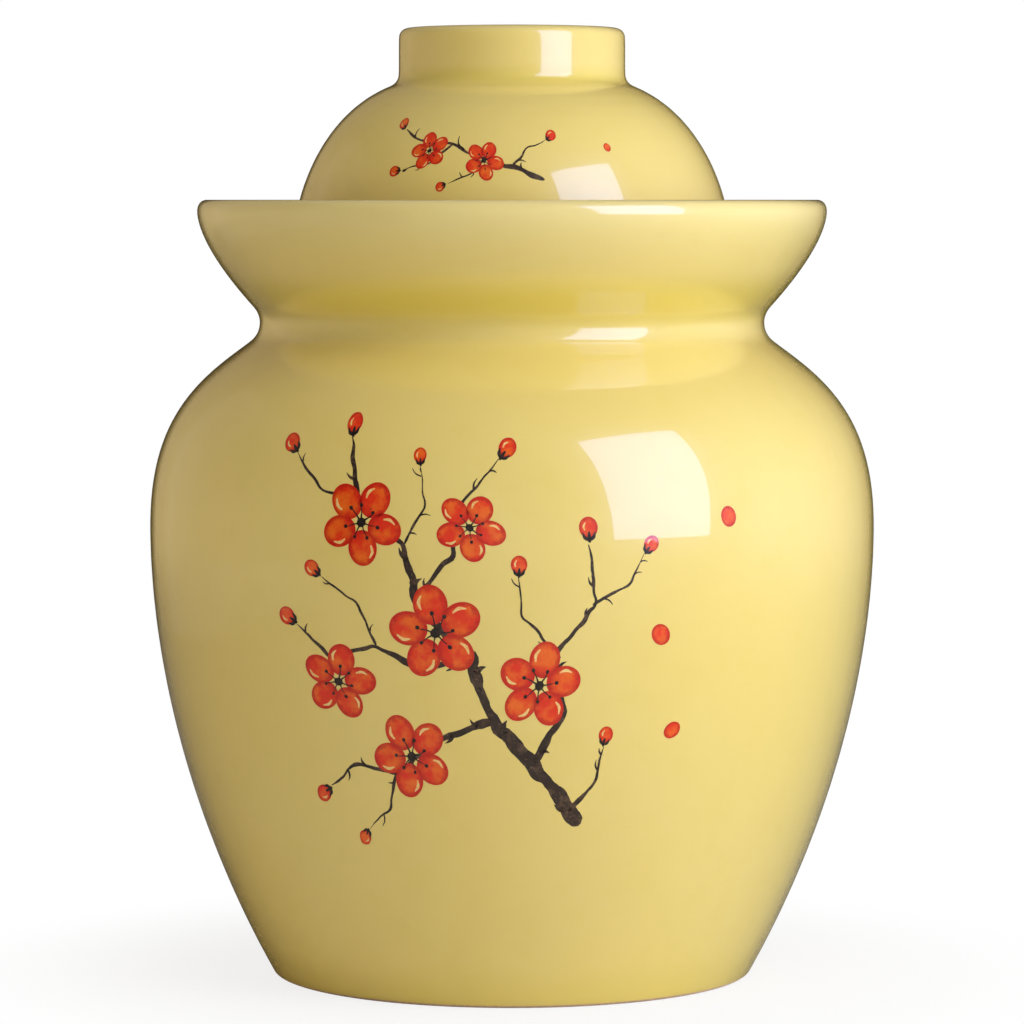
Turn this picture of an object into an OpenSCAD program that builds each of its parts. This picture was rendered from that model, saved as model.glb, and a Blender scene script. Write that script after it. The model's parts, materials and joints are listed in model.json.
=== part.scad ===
// Water seal pickle jar: a glazed stoneware jar with a flared water moat round its
// mouth, a bowl-shaped lid that stands in the moat, and a small inner lid on the
// mouth. Every piece is turned about the Z axis and stands on Z = 0, in millimetres.
// Jar and lid are fired whole. They are divided at their joints in the clay: belly,
// moat's floor, moat's wall and collar, and dome, skirt and grip.

/* [Jar] */
// Width across the belly
belly_d = 220; // [200:1:250]
// Height of the widest part of the belly above the table
belly_z = 137; // [110:1:160]
// Diameter of the foot
foot_d = 145; // [120:1:165]
// Slope of the wall where it leaves the foot, in degrees off upright
foot_lean = 29; // [20:1:36]
// Radius of the edge round the foot
foot_round = 2; // [1:0.5:5]
// Width of the ring that stands on the table
foot_ring_w = 9; // [6:0.5:14]
// Depth of the hollow inside the foot ring
foot_hollow = 2.5; // [1.5:0.5:5]
// Thickness of the jar's wall
wall = 7; // [5:0.5:9]
// Thickness of the jar's floor
floor_t = 9; // [6:0.5:14]
// Radius of the corner between floor and wall inside
floor_round = 14; // [8:1:20]

/* [Shoulder and moat] */
// Height of the waist above the widest part of the belly
shoulder_h = 61; // [50:0.5:80]
// Slope of the shoulder where it meets the waist, in degrees above level
shoulder_slope = 36; // [20:1:45]
// Radius of the hollow round the waist
waist_round = 7; // [4:0.5:10]
// Slope at which the moat's wall leaves the waist, in degrees above level
flare_slope = 52; // [46:1:62]
// How far the rim stands out from the waist
rim_reach = 19; // [15:0.5:26]
// Height of the rim above the waist
rim_h = 37.5; // [30:0.5:46]
// Thickness of the moat's outer wall
rim_t = 6; // [4:0.5:8]
// Height of the moat's floor above the waist
moat_floor_rise = 8; // [6:0.5:10]
// Radius of the corners at the moat's floor
moat_round = 3; // [2:0.5:4]
// Width of the moat's floor outside the water lid
moat_margin = 10.5; // [8:0.5:14]

/* [Mouth] */
// Bore of the mouth
mouth_d = 98; // [80:1:120]
// Thickness of the collar round the mouth
collar_t = 6; // [4:0.5:8]
// How far the collar stands above the rim
collar_rise = 1.5; // [0:0.5:6]
// Radius of the mouth's lower edge inside the jar
throat_round = 4; // [2:0.5:5]

/* [Water lid] */
// Thickness of the lid's wall
lid_t = 5; // [4:0.5:7]
// Gap between the collar and the lid's skirt
skirt_gap = 6; // [4:0.5:9]
// Height of the upright skirt
skirt_h = 19.5; // [12:0.5:26]
// Slope of the dome where it meets the grip, in degrees
dome_slope = 18; // [10:1:30]
// Diameter of the ring-shaped grip
grip_d = 68.5; // [56:0.5:80]
// Height of the grip above the dome
grip_h = 16.5; // [12:0.5:22]
// Thickness of the grip's wall
grip_t = 6; // [4:0.5:8]
// Radius of the corner between dome and grip
grip_round = 4; // [2:0.5:6]
// Thickness of the dome's crown inside the grip
crown_t = 5.5; // [4:0.5:8]
// Height of the grip's foot above the dome's ceiling
crown_rise = 4; // [3:0.5:6]

/* [Inner lid] */
// Thickness of the inner lid
inner_t = 4.5; // [3.5:0.5:6]
// How far the inner lid stops short of the collar's outer edge
inner_setback = 1.5; // [1:0.5:2.5]
// Depth of the ring that centres the inner lid in the mouth
plug_h = 8; // [5:0.5:12]
// Clearance between that ring and the mouth, on each side
plug_gap = 1.4; // [0.8:0.2:2]
// Diameter of the knob
knob_d = 20; // [16:1:26]
// Diameter of the knob's neck
knob_neck_d = 13; // [9:1:15]
// Height of the knob
knob_h = 14; // [12:0.5:18]
// Free height between the knob and the dome's ceiling
knob_room = 11; // [6:0.5:18]

/* [Hidden] */
glaze_yellow = "khaki";
glaze_cream = "lemonchiffon";
turn_steps = 96;   // facets in the preview of a full turn
curve_steps = 14;  // points along each free curve
corner_steps = 4;  // points along each rounded corner

// Radii, from the mouth outwards
mouth_r = mouth_d / 2;
collar_r = mouth_r + collar_t;
skirt_in_r = collar_r + skirt_gap;
skirt_r = skirt_in_r + lid_t;
waist_r = skirt_r + moat_margin;
rim_r = waist_r + rim_reach;
belly_r = belly_d / 2;
foot_r = foot_d / 2;
foot_hollow_r = foot_r - foot_round - foot_ring_w;
inner_lid_r = collar_r - inner_setback;
plug_r = mouth_r - plug_gap;
grip_r = grip_d / 2;
grip_hollow_r = grip_r - grip_t;

// Heights, from the table upwards
floor_z = foot_hollow + floor_t;
waist_z = belly_z + shoulder_h;
moat_z = waist_z + moat_floor_rise;
rim_z = waist_z + rim_h;
collar_z = rim_z + collar_rise;
under_moat_z = moat_z - wall;
dome_z = moat_z + skirt_h;
knob_z = collar_z + inner_t;
knob_top_z = knob_z + knob_h;
ceiling_z = knob_top_z + knob_room;
grip_z = ceiling_z + crown_rise;
grip_top_z = grip_z + grip_h;
crown_z = ceiling_z + crown_t;
crown_fall = 0.4;  // how far the ceiling falls from its middle to the dome

// How far each free curve holds its direction at its two ends, as a share of its span
wall_from_foot = belly_z * 0.335;
wall_to_belly = belly_z * 0.34;
shoulder_from_belly = shoulder_h * 0.56;
shoulder_to_waist = shoulder_h * 0.28;
flare_from_waist = rim_h * 0.05;
flare_to_rim = rim_h * 0.31;
dome_from_skirt = (grip_z - dome_z) * 0.18;
dome_to_grip = (skirt_r - grip_r) * 0.82;

// Radii of the small rounded edges, as shares of the thickness that they round
foot_hollow_edge = foot_hollow * 0.4;
collar_edge = collar_t * 0.25;
skirt_edge = lid_t * 0.36;
grip_edge = grip_t * 0.47;
plug_edge = inner_t * 0.33;
flange_edge = inner_t * 0.27;
knob_edge = knob_d * 0.125;

function unit(v) = v / norm(v);
function heading(angle) = [cos(angle), sin(angle)];
function turn_side(a, b, c) = sign((b.x - a.x) * (c.y - b.y) - (b.y - a.y) * (c.x - b.x));
function last(path) = path[len(path) - 1];
function backwards(path) = [for (i = [len(path) - 1 : -1 : 0]) path[i]];

// Points of a cubic curve from a to d, pulled towards b and then c
function curve(a, b, c, d) = [
    for (i = [0 : curve_steps])
        let (t = i / curve_steps, s = 1 - t)
        s * s * s * a + 3 * s * s * t * b + 3 * s * t * t * c + t * t * t * d
];

// Points of an arc round a centre, from one heading to another
function arc(centre, r, from, to) =
    [for (i = [0 : corner_steps]) centre + r * heading(from + (to - from) * i / corner_steps)];

// Points of a corner at b, between a and c, rounded to radius r
function corner(a, b, c, r) =
    let (
        u = unit(a - b),
        v = unit(c - b),
        half = acos(u * v) / 2,
        start = b + u * r / tan(half),
        centre = b + unit(u + v) * r / sin(half),
        first = atan2(start.y - centre.y, start.x - centre.x)
    )
    arc(centre, r, first, first + (180 - 2 * half) * turn_side(a, b, c));

// A line of points moved by t to the left of its own direction
function beside(path, t) = [
    for (i = [0 : len(path) - 1])
        let (along = unit(path[min(i + 1, len(path) - 1)] - path[max(i - 1, 0)]))
        path[i] + t * [-along.y, along.x]
];

// Where the end of a line of points, drawn on straight, comes to height z
function drawn_on(path, z) =
    let (end = last(path), before = path[len(path) - 2])
    end + (end - before) * (z - end.y) / (end.y - before.y);

// Outside of the jar, from the foot up to the rim's lip
foot_dir = heading(90 - foot_lean);
foot_bend = corner([0, 0], [foot_r, 0], [foot_r, 0] + foot_dir, foot_round);
foot_end = last(foot_bend);
belly_point = [belly_r, belly_z];
wall_line = curve(foot_end, foot_end + wall_from_foot * foot_dir,
    belly_point - [0, wall_to_belly], belly_point);

waist_centre = [waist_r + waist_round, waist_z];
waist_line = arc(waist_centre, waist_round, 270 - shoulder_slope, 180);
neck_line = arc(waist_centre, waist_round, 180, 90 + flare_slope);
shoulder_line = curve(belly_point, belly_point + [0, shoulder_from_belly],
    waist_line[0] - shoulder_to_waist * heading(180 - shoulder_slope), waist_line[0]);

lip_round = rim_t / 2;
lip_point = [rim_r, rim_z - lip_round];
flare_start = last(neck_line);
flare_line = curve(flare_start, flare_start + flare_from_waist * heading(flare_slope),
    lip_point - [0, flare_to_rim], lip_point);
lip_line = arc(lip_point - [lip_round, 0], lip_round, 0, 180);

// Inside of the moat, whose wall starts where it clears the corner at the floor
seam_z = moat_z + moat_round;
flare_inside = beside(flare_line, rim_t);
seam = len([for (p = flare_inside) if (p.y <= seam_z) p]);
wall_outside = [for (i = [seam : curve_steps]) flare_line[i]];
wall_inside = [for (i = [curve_steps : -1 : seam]) if (flare_inside[i].y < lip_point.y) flare_inside[i]];
moat_foot = drawn_on(wall_inside, moat_z);

// Collar round the mouth
collar_foot = [collar_r, moat_z];
collar_outside = [collar_r, collar_z];
collar_inside = [mouth_r, collar_z];
throat = [mouth_r, under_moat_z];

// Inside of the jar, from the mouth down to its floor
inner_waist_r = waist_round + wall;
inner_waist_turn = asin((waist_z - under_moat_z + throat_round) / inner_waist_r);
inner_waist = arc(waist_centre, inner_waist_r, 180 + inner_waist_turn, 270 - shoulder_slope);
inner_shoulder = backwards(beside(shoulder_line, wall));
under_moat_corner = [inner_waist[0].x, under_moat_z];
inner_wall = [
    for (p = backwards(beside(wall_line, wall)))
        if (p.y > floor_z + floor_round) p
];
floor_corner = drawn_on(inner_wall, floor_z);

// Lid's dome, from the skirt up to the grip
skirt_inside = [skirt_in_r, moat_z];
skirt_outside = [skirt_r, moat_z];
dome_start = [skirt_r, dome_z];
grip_start = [grip_r, grip_z];
grip_outside = [grip_r, grip_top_z];
grip_inside = [grip_hollow_r, grip_top_z];
grip_floor = [grip_hollow_r, crown_z];
dome_line = curve(dome_start, dome_start + [0, dome_from_skirt],
    grip_start - dome_to_grip * heading(180 - dome_slope), grip_start);
dome_outside = [for (p = dome_line) if (norm(p - grip_start) > grip_round) p];
dome_inside = [for (p = beside(dome_line, lid_t)) if (p.y < ceiling_z - crown_fall) p];
grip_bend = corner(last(dome_outside), grip_start, grip_outside, grip_round);
crown_bend = corner(grip_inside, grip_floor, [0, crown_z], grip_round / 2);

// Belly of the jar, from the foot ring up to the waist
module jar_body() {
    hollow_corner = [foot_hollow_r, foot_hollow];
    ring_corner = [foot_hollow_r + foot_hollow_edge, 0];
    color(glaze_yellow)
        rotate_extrude($fn = turn_steps)
            polygon(concat(
                [[0, foot_hollow]],
                corner([0, foot_hollow], hollow_corner, ring_corner, foot_hollow_edge),
                [ring_corner],
                foot_bend,
                wall_line,
                shoulder_line,
                waist_line,
                inner_waist,
                inner_shoulder,
                inner_wall,
                corner(last(inner_wall), floor_corner, [0, floor_z], floor_round),
                [[0, floor_z]]
            ));
}

// Floor of the moat, which joins the waist, the moat's wall and the collar
module moat_floor() {
    color(glaze_yellow)
        rotate_extrude($fn = turn_steps)
            polygon(concat(
                neck_line,
                [for (i = [1 : seam]) flare_line[i]],
                [flare_inside[seam]],
                corner(flare_inside[seam], moat_foot, collar_foot, moat_round),
                corner(moat_foot, collar_foot, collar_outside, moat_round),
                [[mouth_r, seam_z]],
                corner(collar_inside, throat, under_moat_corner, throat_round),
                corner(throat, under_moat_corner, inner_waist[0], throat_round - 1),
                [inner_waist[0]]
            ));
}

// Flared wall that holds the moat's water in, up to the rim
module moat_wall() {
    color(glaze_yellow)
        rotate_extrude($fn = turn_steps)
            polygon(concat(wall_outside, lip_line, wall_inside));
}

// Collar round the mouth, inside the moat
module mouth_collar() {
    color(glaze_yellow)
        rotate_extrude($fn = turn_steps)
            polygon(concat(
                [[mouth_r, seam_z], [collar_r, seam_z]],
                corner(collar_foot, collar_outside, collar_inside, collar_edge),
                corner(collar_outside, collar_inside, throat, collar_edge)
            ));
}

// Dome of the lid that covers the mouth
module water_lid() {
    color(glaze_yellow)
        rotate_extrude($fn = turn_steps)
            polygon(concat(
                dome_outside,
                grip_bend,
                crown_bend,
                [[0, crown_z], [0, ceiling_z]],
                backwards(dome_inside)
            ));
}

// Upright skirt on which the lid stands in the moat
module lid_skirt() {
    color(glaze_yellow)
        rotate_extrude($fn = turn_steps)
            polygon(concat(
                corner(dome_inside[0], skirt_inside, skirt_outside, skirt_edge),
                corner(skirt_inside, skirt_outside, dome_start, skirt_edge),
                [dome_start, dome_inside[0]]
            ));
}

// Ring-shaped grip on the lid's crown
module lid_grip() {
    color(glaze_yellow)
        rotate_extrude($fn = turn_steps)
            polygon(concat(
                [last(grip_bend)],
                corner(grip_start, grip_outside, grip_inside, grip_edge),
                corner(grip_outside, grip_inside, grip_floor, grip_edge),
                [crown_bend[0]]
            ));
}

// Flat lid with a knob, whose ring centres it in the mouth
module inner_lid() {
    plug_in_r = plug_r - inner_t;
    plug_z = collar_z - plug_h;
    knob_r = knob_d / 2;
    knob_neck_r = knob_neck_d / 2;
    knob_neck_z = knob_z + knob_h * 0.4;
    knob_side_z = knob_z + knob_h * 0.65;
    ring_root = [plug_in_r, collar_z];
    ring_inside = [plug_in_r, plug_z];
    ring_outside = [plug_r, plug_z];
    flange_under = [inner_lid_r, collar_z];
    flange_top = [inner_lid_r, knob_z];
    neck_foot = [knob_neck_r, knob_z];
    neck_top = [knob_neck_r, knob_neck_z];
    knob_under = [knob_r, knob_side_z];
    knob_top = [knob_r, knob_top_z];
    color(glaze_cream)
        rotate_extrude($fn = turn_steps)
            polygon(concat(
                [[0, collar_z]],
                corner([0, collar_z], ring_root, ring_inside, plug_edge),
                corner(ring_root, ring_inside, ring_outside, plug_edge),
                corner(ring_inside, ring_outside, [plug_r, collar_z], plug_edge),
                [[plug_r, collar_z]],
                corner([plug_r, collar_z], flange_under, flange_top, flange_edge),
                corner(flange_under, flange_top, neck_foot, flange_edge),
                corner(flange_top, neck_foot, neck_top, knob_edge),
                corner(neck_foot, neck_top, knob_under, knob_edge / 2),
                corner(neck_top, knob_under, knob_top, knob_edge / 2),
                corner(knob_under, knob_top, [0, knob_top_z], knob_edge),
                [[0, knob_top_z]]
            ));
}

jar_body();
moat_floor();
moat_wall();
mouth_collar();
water_lid();
lid_skirt();
lid_grip();
inner_lid();
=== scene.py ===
import json
import math
import random

import bpy
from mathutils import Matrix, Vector, geometry

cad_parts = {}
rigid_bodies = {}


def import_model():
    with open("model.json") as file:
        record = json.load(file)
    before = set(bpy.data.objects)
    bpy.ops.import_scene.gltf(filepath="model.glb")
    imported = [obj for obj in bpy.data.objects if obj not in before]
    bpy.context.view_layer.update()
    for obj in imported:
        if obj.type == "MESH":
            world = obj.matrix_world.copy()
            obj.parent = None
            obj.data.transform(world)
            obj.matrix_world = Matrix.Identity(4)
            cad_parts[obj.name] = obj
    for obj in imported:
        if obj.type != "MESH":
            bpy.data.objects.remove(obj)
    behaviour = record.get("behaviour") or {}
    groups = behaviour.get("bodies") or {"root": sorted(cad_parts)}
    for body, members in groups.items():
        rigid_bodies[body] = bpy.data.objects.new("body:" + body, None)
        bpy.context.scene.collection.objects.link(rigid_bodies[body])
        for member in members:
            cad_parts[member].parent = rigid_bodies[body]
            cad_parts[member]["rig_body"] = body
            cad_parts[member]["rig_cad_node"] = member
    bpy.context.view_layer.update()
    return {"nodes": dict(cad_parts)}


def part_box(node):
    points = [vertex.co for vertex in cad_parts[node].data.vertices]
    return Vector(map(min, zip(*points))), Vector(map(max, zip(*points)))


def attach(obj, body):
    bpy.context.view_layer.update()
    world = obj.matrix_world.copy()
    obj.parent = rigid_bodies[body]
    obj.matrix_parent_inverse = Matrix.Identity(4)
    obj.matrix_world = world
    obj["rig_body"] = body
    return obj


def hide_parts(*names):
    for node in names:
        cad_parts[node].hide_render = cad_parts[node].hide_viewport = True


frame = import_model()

MM = 0.001

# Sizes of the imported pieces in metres
belly_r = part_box("jar_body")[1].x
skirt_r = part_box("lid_skirt")[1].x
rim_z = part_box("moat_wall")[1].z

# Heights in millimetres, for the materials. The lid's skirt stands on the moat's floor
MOAT_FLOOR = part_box("lid_skirt")[0].z / MM
RIM = rim_z / MM
COLLAR_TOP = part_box("mouth_collar")[1].z / MM
LID_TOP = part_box("lid_grip")[1].z / MM


# Handling of pieces

def mode(name):
    bpy.ops.object.mode_set(mode=name)


def deselect():
    if bpy.context.object and bpy.context.object.mode != "OBJECT":
        mode("OBJECT")
    bpy.ops.object.select_all(action="DESELECT")


def pick(piece):
    deselect()
    piece.select_set(True)
    bpy.context.view_layer.objects.active = piece


def edit_all():
    mode("EDIT")
    bpy.ops.mesh.select_all(action="SELECT")


def edit_edges(piece, numbers):
    """Opens a piece for editing with only the numbered edges selected."""
    pick(piece)
    mode("EDIT")
    bpy.ops.mesh.select_mode(type="EDGE")
    bpy.ops.mesh.select_all(action="DESELECT")
    mode("OBJECT")
    for number in numbers:
        piece.data.edges[number].select = True
    mode("EDIT")


def apply_modifiers(piece):
    pick(piece)
    for modifier in list(piece.modifiers):
        bpy.ops.object.modifier_apply(modifier=modifier.name)


def join(pieces, name):
    deselect()
    for piece in pieces:
        piece.select_set(True)
    bpy.context.view_layer.objects.active = pieces[0]
    if len(pieces) > 1:
        bpy.ops.object.join()
    return named(pieces[0], name)


def named(piece, name):
    piece.name = name
    piece.data.name = name
    return piece


def give_material(piece, material):
    piece.data.materials.clear()
    piece.data.materials.append(material)


# Turned pieces

CAD_MERGE = 0.01 * MM
OUTLINE_MERGE = 0.05 * MM
TURNED_MERGE = 0.02 * MM
ON_LINE = 0.02 * MM
PAST_END = 0.001


def half_section(node):
    """Cuts a merged copy of a CAD piece down to the outline that it was turned from."""
    pick(frame["nodes"][node])
    bpy.ops.object.duplicate()
    outline = bpy.context.object
    outline.parent = None
    del outline["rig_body"]
    del outline["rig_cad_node"]
    edit_all()
    bpy.ops.mesh.remove_doubles(threshold=CAD_MERGE)
    bpy.ops.mesh.bisect(plane_co=(0, 0, 0), plane_no=(0, 1, 0), clear_inner=True, clear_outer=True)
    bpy.ops.mesh.select_all(action="SELECT")
    bpy.ops.mesh.bisect(plane_co=(0, 0, 0), plane_no=(1, 0, 0), clear_inner=True, clear_outer=False)
    bpy.ops.mesh.select_all(action="SELECT")
    bpy.ops.mesh.remove_doubles(threshold=OUTLINE_MERGE)
    mode("OBJECT")
    return outline


def lines(outline):
    points = outline.data.vertices
    return [tuple(points[i].co.copy() for i in edge.vertices) for edge in outline.data.edges]


def lies_on(point, line):
    spot, share = geometry.intersect_point_line(point, *line)
    return -PAST_END < share < 1 + PAST_END and (spot - point).length < ON_LINE


def drop_seams(outlines):
    """Removes the lines along which the divided pieces of one fired body meet."""
    drawn = [lines(outline) for outline in outlines]
    for number, outline in enumerate(outlines):
        others = [line for other, group in enumerate(drawn) if other != number for line in group]
        seams = [
            edge
            for edge, (a, b) in enumerate(drawn[number])
            if any(lies_on((a + b) / 2, line) for line in others)
        ]
        edit_edges(outline, seams)
        bpy.ops.mesh.delete(type="EDGE")
        bpy.ops.mesh.select_all(action="SELECT")
        bpy.ops.mesh.delete_loose(use_verts=True, use_edges=False, use_faces=False)
        mode("OBJECT")


def split_long_edges(outline, longest):
    """Adds points along the straight stretches, so that they stay straight when curved."""
    while long_edges := [n for n, (a, b) in enumerate(lines(outline)) if (a - b).length > longest]:
        edit_edges(outline, long_edges)
        bpy.ops.mesh.subdivide(number_cuts=1)
        mode("OBJECT")


def turned(nodes, name, longest, points_per_edge, turn_steps):
    """Draws a smooth curve through the outline of fired clay and turns it full circle."""
    outlines = [half_section(node) for node in nodes]
    drop_seams(outlines)
    outline = join(outlines, name)
    edit_all()
    bpy.ops.mesh.remove_doubles(threshold=OUTLINE_MERGE)
    mode("OBJECT")
    split_long_edges(outline, longest)
    pick(outline)
    bpy.ops.object.convert(target="CURVE")
    mode("EDIT")
    bpy.ops.curve.select_all(action="SELECT")
    bpy.ops.curve.spline_type_set(type="NURBS")
    mode("OBJECT")
    for spline in bpy.context.object.data.splines:
        spline.order_u = 4
        spline.use_endpoint_u = True
        spline.resolution_u = points_per_edge
    bpy.ops.object.convert(target="MESH")
    piece = bpy.context.object
    for vertex in piece.data.vertices:
        vertex.co.y = 0
        vertex.co.x = max(vertex.co.x, 0)
    edit_all()
    bpy.ops.mesh.spin(steps=turn_steps, angle=2 * math.pi, center=(0, 0, 0), axis=(0, 0, 1))
    bpy.ops.mesh.select_all(action="SELECT")
    bpy.ops.mesh.remove_doubles(threshold=TURNED_MERGE)
    bpy.ops.mesh.normals_make_consistent(inside=False)
    mode("OBJECT")
    bpy.ops.object.shade_smooth()
    return named(piece, name)


JAR_NODES = ("jar_body", "moat_floor", "moat_wall", "mouth_collar")
LID_NODES = ("water_lid", "lid_skirt", "lid_grip")
INNER_LID_NODES = ("inner_lid",)

jar = turned(JAR_NODES, "glazed_jar", longest=13.5 * MM, points_per_edge=2, turn_steps=240)
lid = turned(LID_NODES, "glazed_water_lid", longest=7 * MM, points_per_edge=3, turn_steps=192)
inner_lid = turned(
    INNER_LID_NODES, "glazed_inner_lid", longest=7 * MM, points_per_edge=2, turn_steps=144
)
for made, nodes, body, slot in (
    (jar, JAR_NODES, "jar", "jar_glaze"),
    (lid, LID_NODES, "lid", "lid_glaze"),
    (inner_lid, INNER_LID_NODES, "small_lid", "inner_lid_glaze"),
):
    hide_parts(*nodes)
    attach(made, body)


# Materials

COAT_ROUGHNESS = 0.02
COAT_IOR = 1.7
GLAZE_ROUGHNESS = 0.22
PAINT_ROUGHNESS = 0.25


class Value:
    """A socket that can be written into sums as a number is."""

    def __init__(self, finish, socket):
        self.finish = finish
        self.socket = socket

    def _maths(self, operation, *terms):
        return self.finish.node("ShaderNodeMath", {"operation": operation}, dict(enumerate(terms)))

    def __add__(self, other):
        return self._maths("ADD", self, other)

    def __radd__(self, other):
        return self._maths("ADD", other, self)

    def __sub__(self, other):
        return self._maths("SUBTRACT", self, other)

    def __rsub__(self, other):
        return self._maths("SUBTRACT", other, self)

    def __mul__(self, other):
        return self._maths("MULTIPLY", self, other)

    def __rmul__(self, other):
        return self._maths("MULTIPLY", other, self)

    def __pow__(self, other):
        return self._maths("POWER", self, other)

    def size(self):
        return self._maths("ABSOLUTE", self)


class Finish:
    """The nodes of a material, or of the room's light."""

    def __init__(self, owner):
        owner.use_nodes = True
        self.owner = owner
        self.tree = owner.node_tree
        self.tree.nodes.clear()

    def node(self, kind, settings=None, inputs=None, output=0):
        made = self.tree.nodes.new(kind)
        for key, value in (settings or {}).items():
            setattr(made, key, value)
        for key, value in (inputs or {}).items():
            if isinstance(value, Value):
                self.tree.links.new(value.socket, made.inputs[key])
            else:
                made.inputs[key].default_value = value
        return Value(self, made.outputs[output]) if len(made.outputs) else None

    def axis(self, vector, letter):
        return self.node("ShaderNodeSeparateXYZ", None, {0: vector}, letter)

    def place(self):
        """Height, distance from the axis, and the point itself, in millimetres."""
        point = self.node("ShaderNodeTexCoord", output="Object")
        point = self.node(
            "ShaderNodeVectorMath", {"operation": "SCALE"}, {0: point, "Scale": 1 / MM}
        )
        x, y, z = (self.axis(point, letter) for letter in "XYZ")
        return z, (x * x + y * y) ** 0.5, point

    def noise(self, point, size, detail=3.0, rough=0.5):
        """Noise from 0 to 1 with features about size millimetres wide."""
        return self.node(
            "ShaderNodeTexNoise",
            None,
            {"Vector": point, "Scale": 1.0 / size, "Detail": detail, "Roughness": rough},
            "Fac",
        )

    def ease(self, value, start, end):
        """0 before start, 1 after end, smooth between. End may lie below start."""
        rising = end > start
        low, high = (start, end) if rising else (end, start)
        return self.node(
            "ShaderNodeMapRange",
            {"interpolation_type": "SMOOTHSTEP"},
            {"Value": value, "From Min": low, "From Max": high,
             "To Min": 0.0 if rising else 1.0, "To Max": 1.0 if rising else 0.0},
        )

    def near(self, value, middle, reach):
        """1 at the middle, falling to 0 at reach to either side."""
        return self.ease((value - middle).size(), reach, 0.0)

    def larger(self, value, other):
        return self.node("ShaderNodeMath", {"operation": "MAXIMUM"}, {0: value, 1: other})

    def blend(self, share, first, second):
        return self.node(
            "ShaderNodeMix",
            {"data_type": "RGBA", "blend_type": "MIX"},
            {0: share, 6: first, 7: second},
            2,
        )

    def shaders(self, share, first, second):
        return self.node("ShaderNodeMixShader", None, {0: share, 1: first, 2: second})

    def glossy_coat(self, colour, roughness, coat, relief):
        """Clay or paint under a layer of clear glaze. Relief is in millimetres."""
        normal = self.node(
            "ShaderNodeBump", None, {"Height": relief, "Distance": 1 * MM}, "Normal"
        )
        shader = self.node(
            "ShaderNodeBsdfPrincipled",
            None,
            {"Base Color": colour, "Roughness": roughness, "Coat Weight": coat,
             "Coat Roughness": COAT_ROUGHNESS, "Coat IOR": COAT_IOR, "Normal": normal},
            "BSDF",
        )
        self.node("ShaderNodeOutputMaterial", None, {"Surface": shader})
        return self.owner


def rgb(r, g, b):
    return (r, g, b, 1.0)


GLAZE = rgb(0.862, 0.669, 0.192)
GLAZE_DEEP = rgb(0.74, 0.57, 0.075)
GLAZE_PALE = rgb(0.88, 0.75, 0.36)
GLAZE_INSIDE = rgb(0.86, 0.76, 0.47)
CLAY = rgb(0.62, 0.42, 0.29)
CLAY_GRAINS = rgb(0.50, 0.32, 0.21)

INK = rgb(0.030, 0.016, 0.010)
INK_THINNED = rgb(0.105, 0.060, 0.034)
INK_DRY = rgb(0.22, 0.14, 0.07)
PETAL_RED = rgb(0.82, 0.030, 0.002)
PETAL_ORANGE = rgb(0.90, 0.15, 0.008)
PETAL_BASE = rgb(0.60, 0.010, 0.002)
PETAL_RIM = rgb(0.56, 0.008, 0.001)
CREAM = rgb(0.93, 0.66, 0.24)
CREAM_ORANGE = rgb(0.90, 0.42, 0.10)
HEART = rgb(0.016, 0.009, 0.006)
HEART_THINNED = rgb(0.06, 0.03, 0.016)


def ripple(finish, point):
    """The slow waves of a poured glaze, in millimetres."""
    return finish.noise(point, 22.0, 2.0, 0.4) * 0.16


def glaze(name, pools, thins, bare, colour=GLAZE):
    """Glossy yellow glaze. Pools and thins give where it gathers and where it wears thin,
    bare gives where the clay shows. Each takes the finish, height and radius."""
    finish = Finish(bpy.data.materials.new(name))
    height, radius, point = finish.place()
    cloud = finish.noise(point, 70.0, 2.0)
    mottle = finish.noise(point, 9.0, 4.0, 0.6)
    grain = finish.noise(point, 0.9, 2.0)
    shown = finish.blend(finish.ease(cloud, 0.35, 0.7) * 0.14, colour, GLAZE_PALE)
    shown = finish.blend(finish.ease(mottle, 0.45, 0.75) * 0.10, shown, GLAZE_DEEP)
    shown = finish.blend(thins(finish, height, radius), shown, GLAZE_PALE)
    shown = finish.blend(pools(finish, height, radius), shown, GLAZE_DEEP)
    clay = bare(finish, height, radius)
    grainy = finish.blend(finish.ease(grain, 0.35, 0.7), CLAY, CLAY_GRAINS)
    return finish.glossy_coat(
        finish.blend(clay, shown, grainy),
        GLAZE_ROUGHNESS + clay * 0.6,
        1.0 - clay,
        ripple(finish, point) + grain * clay * 0.05,
    )


def painted(name, colour):
    """Paint under the glaze, with the glaze's own ripple."""
    finish = Finish(bpy.data.materials.new(name))
    point = finish.place()[2]
    sheet = finish.node("ShaderNodeUVMap", output="UV")
    return finish.glossy_coat(
        colour(finish, sheet, point), PAINT_ROUGHNESS, 1.0, ripple(finish, point)
    )


def ink_colour(finish, sheet, point):
    across = finish.axis(sheet, "Y")
    cloud = finish.noise(point, 3.0, 3.0, 0.6)
    streak = finish.noise(point, 0.7, 2.0)
    edge = finish.ease((across - 0.5).size(), 0.28, 0.5)
    shown = finish.blend(finish.ease(cloud, 0.4, 0.75), INK, INK_THINNED)
    return finish.blend(finish.ease(streak, 0.55, 0.8) * (1 - edge) * 0.5, shown, INK_DRY)


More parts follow.
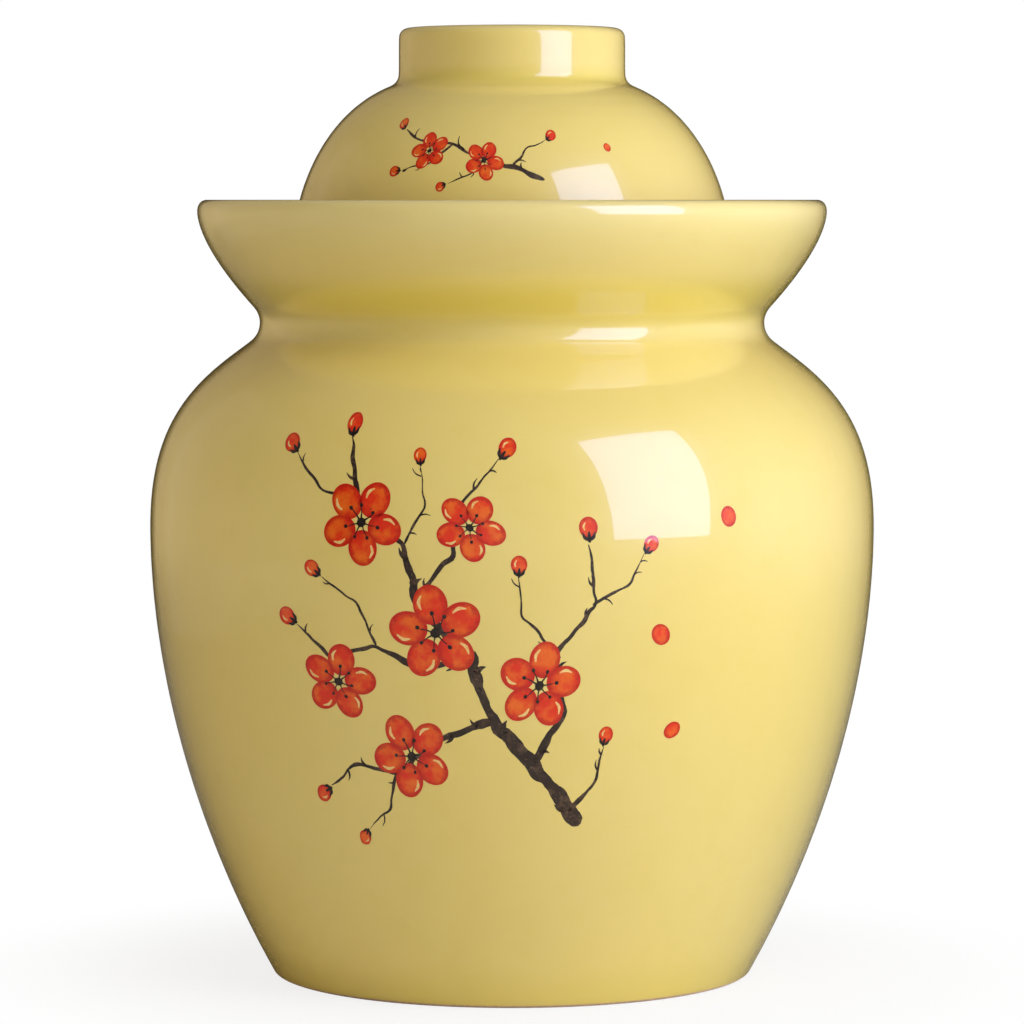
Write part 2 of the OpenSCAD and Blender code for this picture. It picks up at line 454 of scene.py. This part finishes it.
def petal_colour(finish, sheet, point):
    across, out = (finish.axis(sheet, letter) for letter in "XY")
    side, tip = across - 0.5, out - 0.5
    spread = (side * side + tip * tip) ** 0.5 * 2
    cloud = finish.noise(point, 5.0, 3.0, 0.6)
    wash = finish.noise(point, 1.4, 4.0, 0.65)
    rim = finish.ease(spread + (wash - 0.5) * 0.7, 0.58, 0.95)
    shown = finish.blend(finish.ease(cloud, 0.35, 0.68), PETAL_RED, PETAL_ORANGE)
    shown = finish.blend(finish.ease(out, 0.45, 0.0) * 0.55, shown, PETAL_BASE)
    return finish.blend(rim * 0.85, shown, PETAL_RIM)


def cream_colour(finish, sheet, point):
    grain = finish.noise(point, 0.8, 2.0)
    return finish.blend(finish.ease(grain, 0.4, 0.75), CREAM, CREAM_ORANGE)


def heart_colour(finish, sheet, point):
    grain = finish.noise(point, 1.2, 2.0)
    return finish.blend(finish.ease(grain, 0.45, 0.75), HEART, HEART_THINNED)


def jar_pools(finish, height, radius):
    waist = finish.near(height, MOAT_FLOOR, 11.0) * finish.ease(radius, 92.0, 84.0) * 0.8
    foot = finish.ease(height, 16.0, 2.0) * 0.3
    moat = finish.near(height, MOAT_FLOOR, 7.0) * finish.ease(radius, 76.0, 72.0) * 0.6
    return finish.larger(waist + foot, moat)


def jar_thins(finish, height, radius):
    flare = finish.ease(height, RIM - 20.5, RIM - 0.5) * finish.ease(radius, 80.0, 86.0) * 0.45
    lip = finish.ease(height, RIM - 2.5, RIM) * finish.ease(radius, 86.0, 89.0) * 0.3
    return flare + lip


def jar_bare(finish, height, radius):
    return finish.ease(height, 1.2, 0.5)


def lid_pools(finish, height, radius):
    grip_foot = finish.near(height, LID_TOP - 15.5, 5.0) * finish.near(radius, 35.0, 7.0) * 0.5
    hollow = finish.ease(height, LID_TOP - 11.5, LID_TOP - 14.5)
    return grip_foot + finish.ease(radius, 28.0, 24.0) * hollow * 0.4


def lid_thins(finish, height, radius):
    return finish.ease(height, LID_TOP - 2.5, LID_TOP) * 0.45


def lid_bare(finish, height, radius):
    return finish.ease(height, MOAT_FLOOR + 1.5, MOAT_FLOOR + 0.6)


def inner_pools(finish, height, radius):
    return finish.near(height, COLLAR_TOP + 5.0, 3.0) * finish.ease(radius, 14.0, 7.0) * 0.4


def inner_thins(finish, height, radius):
    return finish.ease(radius, 51.0, 53.5) * 0.3


def inner_bare(finish, height, radius):
    return finish.ease(height, COLLAR_TOP + 0.7, COLLAR_TOP + 0.3)


give_material(jar, glaze("yellow_jar_glaze", jar_pools, jar_thins, jar_bare))
give_material(lid, glaze("yellow_lid_glaze", lid_pools, lid_thins, lid_bare))
give_material(
    inner_lid,
    glaze("cream_inner_lid_glaze", inner_pools, inner_thins, inner_bare, GLAZE_INSIDE),
)


# Painted branch, drawn flat in millimetres: to the right of the front line, and up from the table

draw = random.Random(7)

STROKE_STEP = 0.9
STROKE_ROWS = 4
ROUND_END = 1.1
BRUSH_STEP = 3.2
BRUSH_PRESS = (0.66, 1.28)
SPUR_PLACES = (0.3, 0.75)
SPURS_LEFT_OUT = 0.45
SPUR_LEAN = (0.6, 1.1)
SPUR_REACH = (1.6, 3.4)


def flat_sheet(made, width, height):
    """Gives a new flat mesh its size in its own points."""
    mode("EDIT")
    bpy.ops.transform.resize(value=(width * MM, height * MM, 1))
    mode("OBJECT")
    return made


def disc(width, height, corners=32):
    bpy.ops.mesh.primitive_circle_add(
        vertices=corners, radius=0.5, fill_type="TRIFAN", calc_uvs=True
    )
    made = flat_sheet(bpy.context.object, width, height)
    edit_all()
    bpy.ops.mesh.subdivide(number_cuts=2)
    mode("OBJECT")
    return made


def move_sheet(sheet, right=0, up=0, turn=0, wide=1, tall=1):
    """Sizes, turns and moves a flat sheet in its own points. Turn is in degrees, to the left."""
    pick(sheet)
    edit_all()
    centre = (0, 0, 0)
    bpy.ops.transform.resize(value=(wide, tall, 1), center_override=centre)
    bpy.ops.transform.rotate(value=-math.radians(turn), orient_axis="Z", center_override=centre)
    bpy.ops.transform.translate(value=(right * MM, up * MM, 0))
    mode("OBJECT")
    return sheet


def guide_line(points, widths):
    """A smooth flat curve through points, as thick as the brush is pressed at each."""
    bpy.ops.curve.primitive_bezier_curve_add(radius=1)
    guide = bpy.context.object
    guide.data.dimensions = "2D"
    guide.data.use_stretch = True
    guide.data.use_deform_bounds = True
    guide.data.use_radius = True
    guide.data.resolution_u = 12
    mode("EDIT")
    bpy.ops.curve.select_all(action="SELECT")
    if len(points) > 2:
        bpy.ops.curve.subdivide(number_cuts=len(points) - 2)
    bpy.ops.curve.handle_type_set(type="AUTOMATIC")
    mode("OBJECT")
    spots = guide.data.splines[0].bezier_points
    for spot, (right, up), width in zip(spots, points, widths):
        spot.co = (right * MM, up * MM, 0)
        spot.radius = width
    return guide


def stroke(points, widths, shake=0.0):
    """A brush stroke through points, as wide as given at each of them."""
    guide = guide_line(points, widths)
    length = sum(math.dist(a, b) for a, b in zip(points, points[1:]))
    bpy.ops.mesh.primitive_grid_add(
        x_subdivisions=max(6, int(length / STROKE_STEP)),
        y_subdivisions=STROKE_ROWS,
        size=1,
        calc_uvs=True,
    )
    made = flat_sheet(bpy.context.object, length, 1)
    bend = made.modifiers.new("bend", "CURVE")
    bend.object = guide
    bend.deform_axis = "POS_X"
    apply_modifiers(made)
    bpy.data.objects.remove(guide)
    if shake:
        pick(made)
        edit_all()
        bpy.ops.transform.vertex_random(
            offset=shake * MM, uniform=0, normal=0, seed=draw.randrange(999)
        )
        bpy.ops.transform.resize(value=(1, 1, 0), center_override=(0, 0, 0))
        mode("OBJECT")
    return made


def between(first, second, share):
    return tuple(a + (b - a) * share for a, b in zip(first, second))


def ahead(spot, heading, distance):
    return (spot[0] + distance * math.cos(heading), spot[1] + distance * math.sin(heading))


def branch(points, thick, thin):
    """A branch from its thick end to its thin one, uneven as if from a dry brush."""
    first = between(points[0], points[1], ROUND_END / math.dist(points[0], points[1]))
    path = [points[0], first]
    widths = [thick * 0.3, thick * 0.95]
    length = sum(math.dist(a, b) for a, b in zip(points, points[1:]))
    gone = 0
    for second in points[1:]:
        parts = max(1, round(math.dist(first, second) / BRUSH_STEP))
        step = math.dist(first, second) / parts
        for part in range(1, parts + 1):
            gone += step
            width = thick + (thin - thick) * min(1, gone / length)
            sway = 0.18 + width * 0.13
            spot = between(first, second, part / parts)
            path.append(tuple(place + draw.uniform(-sway, sway) for place in spot))
            widths.append(width * draw.uniform(*BRUSH_PRESS))
        first = second
    widths[-1] = thin * 0.4
    return stroke(path, widths, 0.05 + thick * 0.025)


def spurs(points, thick, thin):
    """Short dry side shoots along a branch."""
    made = []
    for number, (first, second) in enumerate(zip(points, points[1:])):
        width = thick + (thin - thick) * number / len(points)
        along = math.atan2(second[1] - first[1], second[0] - first[0])
        for place in SPUR_PLACES:
            if draw.random() < SPURS_LEFT_OUT:
                continue
            lean = along + draw.choice((-1, 1)) * draw.uniform(*SPUR_LEAN)
            reach = draw.uniform(*SPUR_REACH) + width * 0.4
            root = between(first, second, place)
            bend = ahead(root, lean, reach * 0.55)
            end = ahead(root, lean - 0.25, reach)
            made.append(stroke([root, bend, end], (width * 0.55, width * 0.38 + 0.1, 0.16), 0.04))
    return made


def copy_sheet(sheet):
    pick(sheet)
    bpy.ops.object.duplicate()
    return bpy.context.object


PETALS = 5
PETAL_WIDE = 7.7
PETAL_LONG = 8.9
PETAL_OUT = 6.3
THREADS = 7
THREAD_START = 12
THREAD_LONG = 4.4


def around_flower(sheet, out, count, start=0.0, spread=0.0):
    """Copies a sheet that points up round a flower's middle."""
    move_sheet(sheet, 0, out)
    copies = [sheet]
    for number in range(1, count):
        copies.append(copy_sheet(sheet))
        size = 1 - draw.uniform(0, spread)
        turn = start + 360 * number / count + draw.uniform(-1, 1) * spread * 20
        move_sheet(copies[-1], turn=turn, wide=size, tall=size)
    return copies


def open_flower():
    """Petals, pale strokes on them, and the dark heart of one open blossom."""
    petal = disc(PETAL_WIDE, PETAL_LONG)
    petals = join(around_flower(petal, PETAL_OUT, PETALS, 0, 0.05), "petals")
    shine = stroke([(-2.2, -0.8), (-2.5, 0.8), (-1.7, 2.3)], (0.35, 0.8, 0.3))
    lights = join(around_flower(shine, PETAL_OUT, PETALS, 0, 0.05), "petal_lights")
    thread = stroke([(0, 0.9), (0.15, 2.6), (0, 4.2)], (0.5, 0.3, 0.25))
    tip = disc(0.95, 1.05, 16)
    threads = around_flower(thread, 0, THREADS, THREAD_START, 0.2)
    tips = around_flower(tip, THREAD_LONG, THREADS, THREAD_START, 0.2)
    middle = disc(2.4, 2.2, 24)
    return petals, lights, join(threads + tips + [middle], "hearts")


def closed_bud():
    """Petal, pale stroke and dark cup of one bud, with its tip up."""
    petal = move_sheet(disc(5.2, 5.8), 0, 2.9)
    light = stroke([(-1.1, 2.2), (-1.3, 3.3), (-0.7, 4.3)], (0.3, 0.6, 0.25))
    cup = (
        stroke([(-1.7, 1.6), (-1.2, 0.2), (0, -0.5)], (0.3, 1.0, 0.9)),
        stroke([(1.7, 1.5), (1.2, 0.2), (0, -0.5)], (0.3, 1.0, 0.9)),
        stroke([(0.1, 1.8), (0, 0.5), (0, -1.2)], (0.4, 1.0, 0.7)),
    )
    return petal, light, join(cup, "cup")


flower_parts = open_flower()
bud_parts = closed_bud()


def set_out(parts, places):
    """Copies each part of a blossom or bud to all its places, and gives the copies by part."""
    return [[move_sheet(copy_sheet(part), *place) for place in places] for part in parts]


def painting(name, branches, flowers, buds, loose_petals):
    """Draws one painting as four flat sheets: branches, petals, pale strokes and dark hearts."""
    strokes = [branch(*drawn) for drawn in branches]
    for drawn in branches:
        strokes += spurs(*drawn)
    open_petals, open_lights, hearts = set_out(flower_parts, flowers)
    bud_petals, bud_lights, cups = set_out(bud_parts, buds)
    fallen = [
        move_sheet(disc(PETAL_WIDE * 0.8, PETAL_LONG * 0.8), *place) for place in loose_petals
    ]
    return (
        join(strokes, name + "_branches"),
        join(open_petals + bud_petals + fallen, name + "_petals"),
        join(open_lights + bud_lights, name + "_petal_lights"),
        join(hearts + cups, name + "_hearts"),
    )


FILM = 0.012
LAYERS = (0.02, 0.033, 0.046, 0.046)
SHARP_EDGE = math.radians(35)


def press_down(sheet, onto, height_off, name, method):
    """Brings a sheet's points to a height off the glaze, in millimetres."""
    press = sheet.modifiers.new(name, "SHRINKWRAP")
    press.target = onto
    press.wrap_method = method
    press.offset = height_off * MM
    return press


def wrapped(sheet, onto, radius, height_off):
    """Wraps a flat sheet round the axis and lays it on the glaze as a thin closed film."""
    pick(sheet)
    edit_all()
    bpy.ops.transform.rotate(value=math.pi, orient_axis="X", center_override=(0, 0, 0))
    mode("OBJECT")
    bpy.ops.curve.primitive_bezier_circle_add(radius=radius)
    ring = bpy.context.object
    ring.data.resolution_u = 64
    bend = sheet.modifiers.new("bend", "CURVE")
    bend.object = ring
    bend.deform_axis = "NEG_X"
    press = press_down(sheet, onto, height_off, "press", "PROJECT")
    press.use_positive_direction = False
    press.use_negative_direction = True
    smooth = press_down(sheet, onto, height_off, "smooth_down", "NEAREST_SURFACEPOINT")
    smooth.wrap_mode = "ABOVE_SURFACE"
    film = sheet.modifiers.new("film", "SOLIDIFY")
    film.thickness = FILM * MM
    film.offset = -1
    apply_modifiers(sheet)
    bpy.data.objects.remove(ring)
    pick(sheet)
    bpy.ops.object.shade_smooth_by_angle(angle=SHARP_EDGE)


# Each branch is a line of points, then its width at the thick end and at the thin end
JAR_BRANCHES = (
    (((22, 57), (8, 73), (-6, 88), (-12, 106), (-27, 121), (-31, 138), (-45, 151), (-50, 168)), 4.6, 1.0),
    (((6, 74), (15, 90), (13, 107), (24, 121), (22, 138)), 2.4, 0.7),
    (((-12, 105), (-28, 103), (-41, 109), (-55, 105), (-66, 114)), 2.2, 0.7),
    (((-5, 88), (-22, 82), (-36, 72), (-50, 74), (-60, 67)), 2.4, 0.6),
    (((-28, 122), (-17, 135), (-14, 150), (-4, 162)), 1.7, 0.6),
    (((-44, 150), (-58, 153), (-68, 163)), 1.2, 0.5),
    (((14, 106), (3, 118), (2, 129)), 1.1, 0.5),
    (((-40, 109), (-46, 121), (-57, 128)), 1.0, 0.5),
    (((23, 121), (34, 127), (38, 135)), 1.0, 0.4),
    (((-36, 73), (-40, 61), (-48, 55)), 1.0, 0.4),
    (((-31, 138), (-25, 149), (-27, 160)), 0.9, 0.4),
    (((18, 61), (26, 70), (28, 80)), 1.5, 0.5),
)
# Blossoms, buds and loose petals are set out by right, up, turn, wide and tall
JAR_FLOWERS = (
    (-22, 113, 10, 1.32, 1.3),
    (-44, 144, 40, 1.18, 1.2),
    (-53, 98, -12, 1.16, 1.04),
    (8, 98, 62, 1.22, 1.14),
    (-31, 77, 25, 1.16, 1.2),
    (-12, 143, -30, 1.0, 0.9),
)
JAR_BUDS = (
    (-50, 169, 8),
    (-69, 164, 50),
    (-67, 115, 62),
    (-58, 129, 55, 0.9, 0.9),
    (-61, 66, 120, 0.95, 0.95),
    (-3, 163, -35),
    (22, 140, 5, 1.05, 1.05),
    (39, 136, -35, 0.85, 0.85),
    (2, 130, 0, 0.9, 0.9),
    (-49, 54, 145, 0.8, 0.8),
    (28, 81, -12, 0.85, 0.85),
    (-27, 161, 10, 0.75, 0.75),
)
JAR_FALLEN = (
    (44, 112, 35, 0.9, 0.9),
    (50, 84, -60, 0.75, 0.8),
    (66, 145, 15, 0.85, 0.85),
)

LID_BRANCHES = (
    (((10, 241), (1, 244.5), (-9, 247), (-20, 251.5), (-33, 252.5), (-40, 256)), 1.5, 0.5),
    (((0, 245), (5, 250), (11, 252.5)), 0.8, 0.35),
    (((-20, 251.5), (-27, 246), (-36, 244)), 0.8, 0.35),
    (((-9, 247), (-13, 242.5), (-20, 240)), 0.7, 0.3),
)
LID_FLOWERS = (
    (-28, 249.5, 15, 0.62, 0.52),
    (-9, 246.5, -25, 0.62, 0.54),
)
LID_BUDS = (
    (-41, 256.5, 50, 0.62, 0.6),
    (12, 253, -55, 0.62, 0.6),
    (-37.5, 243.7, 95, 0.62, 0.6),
    (-21, 239.6, 115, 0.55, 0.5),
)
LID_FALLEN = ((33, 250.5, 40, 0.4, 0.36),)

jar_painting = painting("jar", JAR_BRANCHES, JAR_FLOWERS, JAR_BUDS, JAR_FALLEN)
lid_painting = painting("lid", LID_BRANCHES, LID_FLOWERS, LID_BUDS, LID_FALLEN)
for part in flower_parts + bud_parts:
    bpy.data.objects.remove(part)

paints = (
    painted("brown_ink", ink_colour),
    painted("red_petals", petal_colour),
    painted("cream_strokes", cream_colour),
    painted("dark_ink", heart_colour),
)
for painting_sheets, onto, radius, body, slot in (
    (jar_painting, jar, belly_r, "jar", "jar_glaze"),
    (lid_painting, lid, skirt_r, "lid", "lid_glaze"),
):
    for sheet, layer, paint in zip(painting_sheets, LAYERS, paints):
        wrapped(sheet, onto, radius, layer)
        give_material(sheet, paint)
        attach(sheet, body)


# Floor, lamps and camera

CAMERA_DISTANCE = 1.44
CAMERA_PITCH = 3.784
CAMERA_LENS = 166.5
BOARD = rgb(0.88, 0.88, 0.88)
TABLE = rgb(0.26, 0.25, 0.24)
WHITE = rgb(1, 1, 1)
SHADOW_SHARE = 0.18
DARK_BEHIND = 0.93


def light_path(finish, ray):
    return finish.node("ShaderNodeLightPath", output=ray)


def pale_floor():
    """A pale floor that the camera sees as white with a faint shadow. The glaze mirrors it as a
    grey table that ends softly, so that no edge of it shows as a line."""
    bpy.ops.mesh.primitive_plane_add(size=6, location=(0, 0, 0))
    floor = bpy.context.object
    floor.name = "floor"
    finish = Finish(bpy.data.materials.new("pale_floor"))
    radius = finish.place()[1]
    board = finish.node("ShaderNodeBsdfDiffuse", None, {"Color": BOARD}, "BSDF")
    table = finish.node("ShaderNodeBsdfDiffuse", None, {"Color": TABLE}, "BSDF")
    glow = finish.node("ShaderNodeEmission", None, {"Color": WHITE, "Strength": 1.0}, "Emission")
    clear = finish.node("ShaderNodeBsdfTransparent", output="BSDF")
    lit = finish.shaders(light_path(finish, "Is Glossy Ray"), board, table)
    lit = finish.shaders(finish.ease(radius, 400.0, 1800.0), lit, clear)
    shadow = (1 - finish.ease(radius, 66.0, 190.0)) * SHADOW_SHARE
    seen = finish.shaders(shadow, glow, board)
    shown = finish.shaders(light_path(finish, "Is Camera Ray"), lit, seen)
    finish.node("ShaderNodeOutputMaterial", None, {"Surface": shown})
    give_material(floor, finish.owner)


def around(azimuth, distance, height):
    """A point at an azimuth from the front, towards the right, in degrees."""
    turn = math.radians(azimuth)
    return (distance * math.sin(turn), -distance * math.cos(turn), height)


def room(*walls):
    """Soft light from the studio's walls, each given by azimuth, elevation and colour.
    It is dark behind the jar, and the camera sees plain white instead."""
    world = bpy.data.worlds.new("studio")
    bpy.context.scene.world = world
    studio = Finish(world)
    heading = studio.node("ShaderNodeTexCoord", output="Generated")

    def vector(operation, inputs, output=0):
        return studio.node("ShaderNodeVectorMath", {"operation": operation}, inputs, output)

    def facing(azimuth, elevation):
        """1 where a ray heads straight for this side of the room, 0 across, -1 away from it."""
        side = around(azimuth, math.cos(math.radians(elevation)), math.sin(math.radians(elevation)))
        return vector("DOT_PRODUCT", {0: heading, 1: side}, "Value")

    light = (0, 0, 0)
    for azimuth, elevation, colour in walls:
        share = studio.larger(facing(azimuth, elevation), 0.0) ** 3
        light = vector("ADD", {0: vector("SCALE", {0: colour, "Scale": share}), 1: light})
    behind = studio.ease(facing(180, -CAMERA_PITCH), 0.90, 0.972)
    light = vector("SCALE", {0: light, "Scale": 1 - behind * DARK_BEHIND})
    soft = studio.node("ShaderNodeBackground", None, {"Color": light}, "Background")
    white = studio.node("ShaderNodeBackground", None, {"Color": WHITE}, "Background")
    shown = studio.shaders(light_path(studio, "Is Camera Ray"), soft, white)
    studio.node("ShaderNodeOutputWorld", None, {"Surface": shown})


def lamp(name, place, aim_z, width, height, watts, colour, mirrored):
    """A rectangular lamp aimed at a height on the jar's axis. The glaze mirrors it and gets no
    other light from it, or else it lights the glaze without being mirrored."""
    data = bpy.data.lights.new(name, "AREA")
    data.shape = "RECTANGLE"
    data.size = width
    data.size_y = height
    data.energy = watts
    data.color = colour
    made = bpy.data.objects.new(name, data)
    bpy.context.scene.collection.objects.link(made)
    made.location = place
    heading = Vector((0, 0, aim_z)) - Vector(place)
    made.rotation_euler = heading.to_track_quat("-Z", "Y").to_euler()
    made.visible_camera = False
    made.visible_glossy = mirrored
    made.visible_diffuse = not mirrored


pale_floor()
room(
    (-140, 0, (0.46, 0.36, 0.20)),
    (0, 0, (0.14, 0.16, 0.18)),
    (45, 0, (0.21, 0.19, 0.15)),
    (95, 0, (0.44, 0.51, 0.62)),
    (140, 0, (0.21, 0.12, 0.03)),
    (0, 90, (0.17, 0.15, 0.15)),
)
lamp(
    "softbox_face", around(45.5, 0.94, 0.562), aim_z=0.24, width=0.60, height=0.92,
    watts=7.1, colour=(0.38, 0.48, 1.0), mirrored=True,
)
lamp(
    "softbox", around(48, 0.95, 0.565), aim_z=0.24, width=0.69, height=0.92,
    watts=6.5, colour=(1.0, 1.0, 1.0), mirrored=False,
)
lamp(
    "left_card", around(-95, 0.55, 0.30), aim_z=0.30, width=0.90, height=0.62,
    watts=0.13, colour=(0.88, 0.94, 1.0), mirrored=True,
)
lamp(
    "left_fill", around(-85, 1.2, 0.15), aim_z=0.1, width=0.8, height=0.5,
    watts=4.2, colour=(1.0, 0.89, 0.78), mirrored=False,
)
lamp(
    "right_fill", around(95, 1.2, 0.15), aim_z=0.1, width=0.8, height=0.5,
    watts=4.7, colour=(0.49, 0.64, 1.0), mirrored=False,
)
lamp(
    "top_fill", around(36, 0.9, 1.5), aim_z=0.15, width=1.2, height=1.2,
    watts=6.9, colour=(0.92, 0.95, 1.0), mirrored=False,
)
lamp(
    "low_fill", around(12, 1.2, 0.06), aim_z=0.06, width=0.9, height=0.4,
    watts=2.0, colour=(1.0, 0.96, 0.90), mirrored=False,
)

camera_data = bpy.data.cameras.new("camera")
camera_data.sensor_width = 36
camera_data.lens = CAMERA_LENS
camera = bpy.data.objects.new("camera", camera_data)
bpy.context.scene.collection.objects.link(camera)
camera.location = (0, -CAMERA_DISTANCE, rim_z)
camera.rotation_euler = (math.radians(90 - CAMERA_PITCH), 0, 0)
bpy.context.scene.camera = camera
bpy.context.scene.view_settings.view_transform = "Standard"
